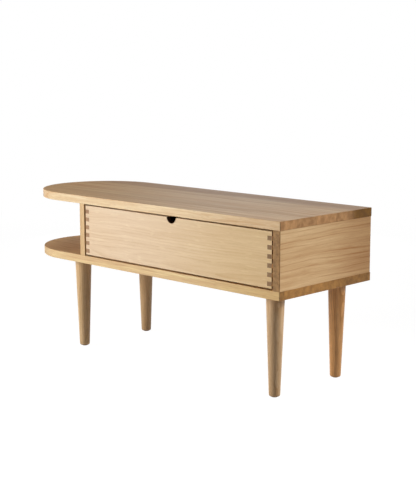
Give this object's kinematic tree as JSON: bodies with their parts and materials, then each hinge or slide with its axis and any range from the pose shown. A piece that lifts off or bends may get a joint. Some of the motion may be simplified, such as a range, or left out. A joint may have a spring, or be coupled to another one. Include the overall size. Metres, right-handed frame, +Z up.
{
  "type": "storage bench",
  "caption": "Low oak bench with one half-round end, an open shelf under it, a wide finger-jointed drawer with a finger notch, and turned tapered legs.",
  "frame": {"origin": "on the floor, below the middle of the bench's length and depth", "axes": "+X along the bench towards its square end, +Y from the drawer front to the back, +Z up"},
  "size_m": [1.003, 0.355, 0.4425],
  "materials": {
    "oak": "solid oak, oiled, satin",
    "oak_plywood": "oak-faced plywood, oiled",
    "beech": "planed beech",
    "zinc_steel": "bright zinc plated",
    "brass": "turned",
    "nylon": "moulded, brown"
  },
  "bodies": {
    "carcass": {"top_board": "oak", "bottom_board": "oak", "divider": "oak", "side_panel": "oak", "back_panel": "oak_plywood", "divider_dowels": "beech", "side_panel_dowels": "beech", "runner_left": "beech", "runner_right": "beech", "runner_screws": "zinc_steel", "leg_front_left": "oak", "leg_front_right": "oak", "leg_back_left": "oak", "leg_back_right": "oak", "leg_bolts": "zinc_steel", "leg_inserts": "brass", "glide_front_left": "nylon", "glide_front_right": "nylon", "glide_back_left": "nylon", "glide_back_right": "nylon"},
    "drawer": {"drawer_front": "oak", "drawer_back": "oak", "drawer_left_side": "oak", "drawer_right_side": "oak", "drawer_bottom": "oak_plywood"}
  },
  "joints": [
    {"name": "drawer_slide", "type": "slide", "parent": "carcass", "child": "drawer", "axis": [0, -1, 0], "range_m": [0, 0.22]}
  ]
}
